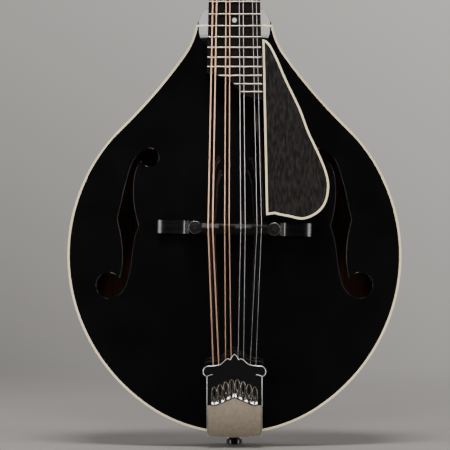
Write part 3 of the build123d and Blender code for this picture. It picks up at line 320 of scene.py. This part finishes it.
def tube(points, radius, closed=False, sides=8):
    """Verts and faces of a round bar through points, capped unless it is closed."""
    count = len(points)
    points = [Vector(point) for point in points]
    verts, faces = [], []
    normal = None
    for n, point in enumerate(points):
        before = points[n - 1] if closed or n else point
        after = points[(n + 1) % count] if closed or n < count - 1 else point
        along = (after - before).normalized()
        if normal is None:
            normal = along.orthogonal().normalized()
        normal = (normal - along * normal.dot(along)).normalized()
        other = along.cross(normal)
        for k in range(sides):
            angle = 2 * math.pi * k / sides
            verts.append(point + radius * (math.cos(angle) * normal + math.sin(angle) * other))
    for n in range(count if closed else count - 1):
        here, there = n * sides, (n + 1) % count * sides
        for k in range(sides):
            after = (k + 1) % sides
            faces.append((here + k, here + after, there + after, there + k))
    if not closed:
        faces.append(tuple(range(sides)))
        faces.append(tuple((count - 1) * sides + k for k in reversed(range(sides))))
    return verts, faces


def front_rims(node, wanted):
    """Ordered runs of the wanted edges where a node's front surface turns into a side wall."""
    shape = bmesh.new()
    shape.from_mesh(nodes[node].data)
    bmesh.ops.remove_doubles(shape, verts=shape.verts, dist=2e-6)
    links = {}
    for edge in shape.edges:
        if len(edge.link_faces) != 2:
            continue
        levels = sorted(face.normal.y for face in edge.link_faces)
        middle = (edge.verts[0].co + edge.verts[1].co) / 2
        if levels[0] < FRONT_FACING and levels[1] > SIDE_FACING and wanted(middle):
            a, b = (tuple(round(c, 6) for c in vert.co) for vert in edge.verts)
            links.setdefault(a, set()).add(b)
            links.setdefault(b, set()).add(a)
    shape.free()
    runs = []
    while links:
        ends = [key for key, near in links.items() if len(near) == 1]
        run = [min(ends) if ends else min(links)]
        while links.get(run[-1]):
            here = run[-1]
            onward = min(links[here])
            links[here].discard(onward)
            links[onward].discard(here)
            if not links[here]:
                del links[here]
            run.append(onward)
        for key in [key for key, near in links.items() if not near]:
            del links[key]
        if len(run) > 2:
            runs.append(run)
    return runs


def even(points, gap):
    """Points again at about an even gap, and whether they close into a loop."""
    points = [Vector(point) for point in points]
    closed = (points[0] - points[-1]).length < 1e-6
    lengths = [0.0]
    for a, b in zip(points, points[1:]):
        lengths.append(lengths[-1] + (b - a).length)
    steps = max(3, round(lengths[-1] / gap))
    result, index = [], 0
    for n in range(steps if closed else steps + 1):
        target = lengths[-1] * n / steps
        while index < len(points) - 2 and lengths[index + 1] < target:
            index += 1
        span = max(lengths[index + 1] - lengths[index], 1e-9)
        result.append(points[index].lerp(points[index + 1], (target - lengths[index]) / span))
    return result, closed


def bead(name, node, wanted, radius, mat, slot):
    """A fine rounded edge laid along a node's front rims."""
    parts = []
    for run in front_rims(node, wanted):
        points, closed = even(run, BEAD_GAP)
        parts.append(tube(points, radius, closed))
    mesh_piece(name, *joined(parts), mat, slot)


# ---------------------------------------------------------------- the edges of the f-holes and tailpiece

F_HOLE_ACROSS = (0.045, 0.110)
F_HOLE_HEIGHTS = (-0.415, -0.285)
POCKETS_HALF = 0.0172
POCKETS_UP = (0.0205, 0.043)
TAILPIECE_BEND = -0.0275


def between(value, limits):
    return limits[0] < value < limits[1]


def by_f_hole(p):
    return between(abs(p.x), F_HOLE_ACROSS) and between(p.z, F_HOLE_HEIGHTS)


def round_tailpiece(p):
    """On the outline of the tailpiece's front, and not in its pockets."""
    in_pockets = abs(p.x) < POCKETS_HALF and between(p.z - TAIL_Z, POCKETS_UP)
    return p.y < TAILPIECE_BEND and not in_pockets


bead("f_hole_edges", "top_plate", by_f_hole, 0.00022, BLACK, "black_gloss")
bead("tailpiece_edges", "tailpiece", round_tailpiece, 0.00032, BRIGHT, "nickel")

# ---------------------------------------------------------------- the tailpiece's string pockets

# the tailpiece's front leans forward in two rises: where each starts, its height and its depth
FRONT_BASE = 0.0398
FRONT_RISES = ((0.021, 0.013, 0.0015), (0.034, 0.014, 0.0006))

POCKETS = 8
PITCH = 0.00425
BOTTOMS = (0.0278, 0.0261, 0.0242, 0.0224)
TOP_TAPER = 0.16
# bars in each pocket: foot above the pocket's bottom, half width, length, lift, bar radius, points and sides
RIM = (-0.0002, 0.00235, 0.0138, 0.0001, 0.00024, 36, 8)
LONG_RING = (0.0052, 0.00120, 0.0072, -0.0003, 0.00018, 36, 6)
SMALL_RING = (0.0027, 0.00085, 0.0024, -0.0001, 0.00020, 20, 6)

# lips where neighbouring pockets meet, near-white as a painted highlight: across, height, half length, half
# width, degrees from level
LIPS = (
    (-0.0163, 0.0240, 0.0018, 0.0009, -52), (-0.0129, 0.0243, 0.0021, 0.0011, 40),
    (-0.0085, 0.0259, 0.0020, 0.0011, 46), (-0.0043, 0.0281, 0.0019, 0.0011, 52),
    (-0.0008, 0.0296, 0.0017, 0.0007, 78), (0.0008, 0.0296, 0.0017, 0.0007, 102),
    (0.0043, 0.0279, 0.0019, 0.0011, 128), (0.0085, 0.0259, 0.0020, 0.0011, 134),
    (0.0129, 0.0243, 0.0021, 0.0011, 140), (0.0163, 0.0242, 0.0018, 0.0009, 232),
)
LIP_TILT = 0.60
LIP_LIFT = 0.0001
LIP_SIDES = 20
LIP_DOME = 0.00035
# share of the lip's size and forward level of each ring, from the domed middle to the buried edge
LIP_RINGS = [(n / 6, LIP_DOME * math.sqrt(1 - (n / 6) ** 3)) for n in range(1, 5)]
LIP_RINGS += [(1.0, -0.00005), (1.0, -0.0009)]


def plate_front(up):
    """How far forward the tailpiece's front is at a height above the tail."""
    forward = FRONT_BASE
    for start, height, depth in FRONT_RISES:
        forward += depth * max(0.0, min(1.0, (up - start) / height))
    return forward


def pocket_bar(pocket, shape):
    """A round bar bent into a teardrop on a pocket's front, a little narrower above than below."""
    foot, half, length, lift, radius, count, sides = shape
    order = pocket - (POCKETS - 1) / 2
    bottom = BOTTOMS[int(abs(order))] + foot
    points = []
    for n in range(count):
        angle = 2 * math.pi * n / count
        up = 0.5 - 0.5 * math.cos(angle)
        across = math.sin(angle) * (1.0 - TOP_TAPER * up) * half
        height = bottom + up * length
        points.append((order * PITCH + across, -(plate_front(height) + lift), TAIL_Z + height))
    return tube(points, radius, True, sides)


def lip(x, height, half_length, half_width, degrees):
    """A tilted oval pad whose face looks forward and up."""
    turn = math.radians(degrees)

    def point(across, up, crown):
        rise = across * math.sin(turn) + up * math.cos(turn)
        forward = plate_front(height) + LIP_LIFT - LIP_TILT * rise + crown
        return (x + across * math.cos(turn) - up * math.sin(turn), -forward, TAIL_Z + height + rise)

    verts, faces = [point(0, 0, LIP_DOME)], []
    for share, crown in LIP_RINGS:
        for k in range(LIP_SIDES):
            angle = 2 * math.pi * k / LIP_SIDES
            across, up = half_length * share * math.cos(angle), half_width * share * math.sin(angle)
            verts.append(point(across, up, crown))
    for k in range(LIP_SIDES):
        after = (k + 1) % LIP_SIDES
        faces.append((0, 1 + k, 1 + after))
        for ring in range(len(LIP_RINGS) - 1):
            inner = 1 + ring * LIP_SIDES
            outer = inner + LIP_SIDES
            faces.append((inner + k, outer + k, outer + after, inner + after))
    last = 1 + (len(LIP_RINGS) - 1) * LIP_SIDES
    faces.append(tuple(last + k for k in reversed(range(LIP_SIDES))))
    return verts, faces


rims = [pocket_bar(pocket, RIM) for pocket in range(POCKETS)]
rings = [pocket_bar(pocket, shape) for pocket in range(POCKETS) for shape in (LONG_RING, SMALL_RING)]
mesh_piece("pocket_rims", *joined(rims), WORN_NICKEL, "nickel")
mesh_piece("pocket_rings", *joined(rings), WORN_NICKEL, "nickel")
# the lips are pads of near-white metal, a painted highlight over the pocket walls
mesh_piece("pocket_scoops", *joined([lip(*values) for values in LIPS]), SCOOP_HIGHLIGHT, "nickel")

# the curls under the crown's side lobes run inwards from its edge and level out
CURL_OUTER = 0.0203
CURL_LENGTH = 0.0042
CURL_UP = 0.0438
CURL_RISE = 0.0013
CURL_STEPS = 8
CURL_FORWARD = plate_front(0.044) + 0.0001

curls = []
for side in (-1, 1):
    curl = []
    for n in range(CURL_STEPS + 1):
        share = n / CURL_STEPS
        up = CURL_UP + CURL_RISE * math.sin(share * math.pi / 2)
        curl.append((side * (CURL_OUTER - CURL_LENGTH * share), -CURL_FORWARD, TAIL_Z + up))
    curls.append(tube(curl, 0.00030))
mesh_piece("crown_curls", *joined(curls), BRIGHT, "nickel")

# ---------------------------------------------------------------- the neck's cheeks

# the cheeks slope up to the fingerboard from the edge of the body; their outline is height and half width
CHEEK_OUTLINE = (
    (-0.1900, 0.0203), (-0.1924, 0.0231), (-0.1943, 0.0246), (-0.1970, 0.0262), (-0.1998, 0.0273),
    (-0.2016, 0.0278), (-0.2050, 0.0277),
    (-0.2085, 0.0273), (-0.2115, 0.0262), (-0.2140, 0.0246), (-0.2160, 0.0225), (-0.2172, 0.0205),
)
CHEEK_TOP = CHEEK_OUTLINE[0][0]
CHEEK_LOW = CHEEK_OUTLINE[-1][0]
CHEEK_INNER = 0.0188
CHEEK_WIDEST = 0.0278
CHEEK_BASE = 0.02195
CHEEK_BACK = -0.0212
CHEEK_SLOPE = 0.58
# share of the slope's width over which it bends up from level
CHEEK_BEND = 0.16
CHEEK_COLUMNS = 24
CHEEK_ROWS = 60

# the body's top edge crosses the cheeks here, with its binding just below
BINDING_LINE = -0.2016
BINDING_TOP = -0.2017
BINDING_LOW = -0.2033
BINDING_LIFT = 0.00018
BINDING_ROWS = 4


def cheek_edge(z):
    """Half width of the cheeks at a height."""
    for (z0, x0), (z1, x1) in zip(CHEEK_OUTLINE, CHEEK_OUTLINE[1:]):
        if z1 <= z <= z0:
            return x0 + (x1 - x0) * (z0 - z) / (z0 - z1)
    return CHEEK_OUTLINE[-1][1]


def cheek_forward(x, z):
    """How far forward the cheek's surface is; above the binding line it is the same at every height."""
    edge = cheek_edge(z) if z < BINDING_LINE else CHEEK_WIDEST
    inward = edge - x
    bend = CHEEK_BEND * (edge - CHEEK_INNER)
    if inward < bend:
        return CHEEK_BASE + 0.5 * CHEEK_SLOPE * inward * inward / bend
    return CHEEK_BASE + 0.5 * CHEEK_SLOPE * bend + CHEEK_SLOPE * (inward - bend)


def grid_solid(rows, columns, front_point, depth):
    """A gridded front surface with a flat-sided body behind it."""
    front = [front_point(r / (rows - 1), c / (columns - 1)) for r in range(rows) for c in range(columns)]
    size = len(front)
    back = [(x, depth, z) for x, y, z in front]
    faces = []
    for r in range(rows - 1):
        for c in range(columns - 1):
            a = r * columns + c
            faces.append((a, a + 1, a + columns + 1, a + columns))
    faces += [tuple(index + size for index in reversed(face)) for face in faces[:]]
    ring = (list(range(columns)) + [r * columns + columns - 1 for r in range(1, rows)]
            + [(rows - 1) * columns + c for c in reversed(range(columns - 1))]
            + [r * columns for r in reversed(range(1, rows - 1))])
    for a, b in zip(ring, ring[1:] + ring[:1]):
        faces.append((a, a + size, b + size, b))
    return front + back, faces


def cheeks(top, low, lift, rows):
    """Both cheeks between two heights, lifted forward a little."""
    def cheek(side):
        def front_point(down, out):
            z = top + (low - top) * down
            x = CHEEK_INNER + (cheek_edge(z) - CHEEK_INNER) * out
            return (side * x, -(cheek_forward(x, z) + lift), z)
        return grid_solid(rows, CHEEK_COLUMNS, front_point, CHEEK_BACK)
    return joined([cheek(side) for side in (-1, 1)])


mesh_piece("neck_cheeks", *cheeks(CHEEK_TOP, CHEEK_LOW, 0.0, CHEEK_ROWS), CHEEK, "black_gloss")
mesh_piece("cheek_bindings", *cheeks(BINDING_TOP, BINDING_LOW, BINDING_LIFT, BINDING_ROWS), IVORY, "ivory")

# ---------------------------------------------------------------- floor and backdrop

FLOOR_HALF = 1.3
FLOOR_COLOUR = (0.178, 0.166, 0.154, 1)
# distances from the tail over which the floor fades into the backdrop
FADE_FROM = 0.25
FADE_TO = 1.15


def floor_paper():
    """Matt paper that turns clear away from the instrument."""
    mat = bpy.data.materials.new("floor_paper")
    mat.use_nodes = True
    tree = mat.node_tree
    shader = tree.nodes["Principled BSDF"]
    shader.inputs["Base Color"].default_value = FLOOR_COLOUR
    shader.inputs["Roughness"].default_value = 0.8
    position = add_node(tree, "NewGeometry").outputs["Position"]
    from_tail = vector_node(tree, "SUBTRACT", {0: position, 1: (0, 0, FLOOR)}).outputs[0]
    distance = vector_node(tree, "LENGTH", {0: from_tail}).outputs["Value"]
    mix = add_node(tree, "MixShader", {
        0: ranged(tree, distance, FADE_FROM, FADE_TO),
        1: shader.outputs["BSDF"],
        2: add_node(tree, "BsdfTransparent").outputs["BSDF"],
    })
    tree.links.new(mix.outputs["Shader"], tree.nodes["Material Output"].inputs["Surface"])
    return mat


corners = [(x * FLOOR_HALF, y * FLOOR_HALF, FLOOR) for x, y in ((-1, -1), (1, -1), (1, 1), (-1, 1))]
mesh = bpy.data.meshes.new("floor")
mesh.from_pydata(corners, [], [(0, 1, 2, 3)])
floor = bpy.data.objects.new("floor", mesh)
bpy.context.scene.collection.objects.link(floor)
paint(floor, floor_paper())
floor.visible_glossy = False

# sideways and upward parts of the view's direction at the edge of the picture
VIEW_EDGE = 0.085
BACKDROP_TINT = (1.0, 0.955, 0.905)
GREY_UPWARD = (0.245, 0.470)
GREY_ACROSS = (-0.040, 0.100)

world = bpy.data.worlds.new("studio")
bpy.context.scene.world = world
world.use_nodes = True
tree = world.node_tree
tree.nodes.clear()
direction = add_node(tree, "TexCoord").outputs["Generated"]
x, y, z = add_node(tree, "SeparateXYZ", {0: direction}).outputs

# what the camera sees: a soft grey backdrop with painted light, lighter upward and to the right
upward = ranged(tree, z, -VIEW_EDGE, VIEW_EDGE, *GREY_UPWARD, smooth=False)
across = ranged(tree, x, -VIEW_EDGE, VIEW_EDGE, *GREY_ACROSS, smooth=False)
grey = math_node(tree, "ADD", upward, across)
tint = add_node(tree, "CombineXYZ", {
    index: math_node(tree, "MULTIPLY", grey, factor) for index, factor in enumerate(BACKDROP_TINT)
})
seen = add_node(tree, "Background", {"Color": tint.outputs[0]})

# what lights and is mirrored: dark in front, soft grey from the sides, above and behind
lit = add_node(tree, "Background", {"Color": ranged(tree, y, -0.35, 0.45, 0.0, 0.50), "Strength": 0.6})

by_eye = add_node(tree, "LightPath").outputs["Is Camera Ray"]
choice = add_node(tree, "MixShader", {0: by_eye, 1: lit.outputs[0], 2: seen.outputs[0]})
add_node(tree, "OutputWorld", {"Surface": choice.outputs[0]})

# ---------------------------------------------------------------- lights and camera


def softbox(name, place, target, size, power, colour=(1, 1, 1)):
    """Rectangular light at a place, facing a target."""
    data = bpy.data.lights.new(name, "AREA")
    data.shape = "RECTANGLE"
    data.size, data.size_y = size
    data.energy = power
    data.color = colour
    lamp = bpy.data.objects.new(name, data)
    bpy.context.scene.collection.objects.link(lamp)
    lamp.location = place
    lamp.rotation_euler = (Vector(target) - Vector(place)).to_track_quat("-Z", "Y").to_euler()


softbox("key_left", (-1.7, -0.9, 0.05), (0, 0, -0.30), (0.55, 1.5), 33, (1.0, 0.99, 0.98))
softbox("key_right", (1.7, -0.9, 0.05), (0, 0, -0.30), (0.55, 1.5), 33, (1.0, 0.98, 0.95))
softbox("above", (0, -0.75, 1.5), (0, 0, -0.40), (0.8, 0.5), 52)
softbox("back_left", (-1.2, 1.7, 0.5), (0, 0, -0.30), (0.8, 1.4), 14)
softbox("back_right", (1.2, 1.7, 0.5), (0, 0, -0.30), (0.8, 1.4), 14)

SENSOR = 36.0
SOUNDBOARD_FORWARD = 0.022
CAMERA_DISTANCE = 1.9
# width of the picture at the soundboard's edge, and the point there that the camera looks at
PICTURE_WIDTH = 0.3348
AIM_X = -0.0070
AIM_Z = -0.3505

camera_data = bpy.data.cameras.new("camera")
camera_data.sensor_width = SENSOR
camera_data.lens = SENSOR * CAMERA_DISTANCE / PICTURE_WIDTH
camera_data.clip_end = 30.0
camera_data.dof.use_dof = False
camera = bpy.data.objects.new("camera", camera_data)
bpy.context.scene.collection.objects.link(camera)
camera.location = (AIM_X, -CAMERA_DISTANCE - SOUNDBOARD_FORWARD, AIM_Z)
camera.rotation_euler = (math.radians(90), 0, 0)
bpy.context.scene.camera = camera

bpy.context.view_layer.update()
